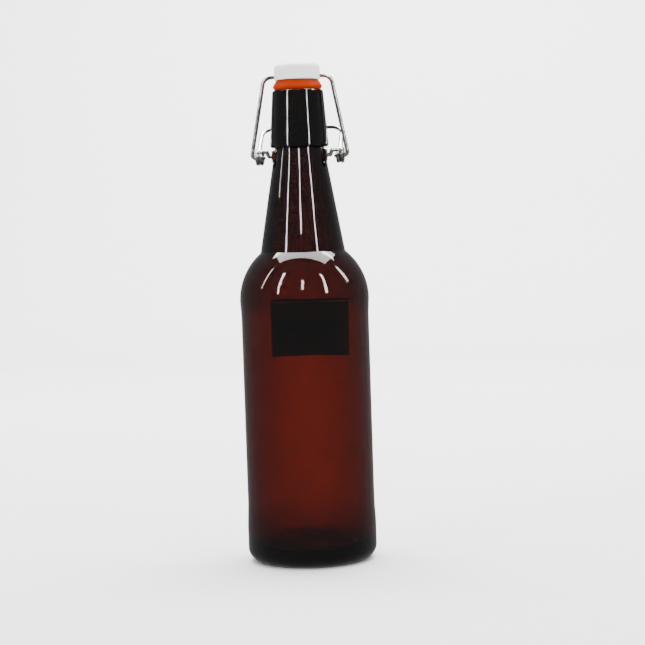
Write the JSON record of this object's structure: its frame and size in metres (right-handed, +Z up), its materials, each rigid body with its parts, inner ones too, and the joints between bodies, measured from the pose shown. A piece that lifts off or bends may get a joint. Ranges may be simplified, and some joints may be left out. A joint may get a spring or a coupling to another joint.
{
  "type": "swing top bottle",
  "caption": "Amber glass bottle with a domed shoulder, a long tapering neck and a wire-held swing top stopper with a rubber gasket.",
  "frame": {"origin": "centre of the base on the plane that the bottle stands on", "axes": "+Z up along the bottle's axis; +X and -X point to the two neck pivots; +Y is the side of the lever's handle and the label"},
  "size_m": [0.07, 0.0701, 0.268],
  "materials": {
    "amber_glass": "clear gloss amber",
    "white_plastic": "satin",
    "orange_rubber": "matt",
    "steel_wire": "bright drawn",
    "label_film": "matt"
  },
  "bodies": {
    "bottle": {"bottle": "amber_glass", "label": "label_film"},
    "lever": {"lever": "steel_wire"},
    "bail": {"bail": "steel_wire"},
    "stopper": {"stopper": "white_plastic", "gasket": "orange_rubber"}
  },
  "joints": [
    {"name": "lever_hinge", "type": "hinge", "parent": "bottle", "child": "lever", "pos_m": [0, 0, 0.219], "axis": [1, 0, 0], "range_deg": [-82, 8]},
    {"name": "bail_swing", "type": "hinge", "parent": "bottle", "child": "bail", "pos_m": [0, 0.0006, 0.2184], "axis": [1, 0, 0], "range_deg": [0, 125], "deforming": ["gasket"]},
    {"name": "stopper_tilt", "type": "hinge", "parent": "bail", "child": "stopper", "pos_m": [0, 0, 0.2616], "axis": [1, 0, 0], "range_deg": [0, 37.5]}
  ],
  "couplings": [
    {"joint": "stopper_tilt", "follows": "bail_swing", "ratio": 0.3}
  ]
}
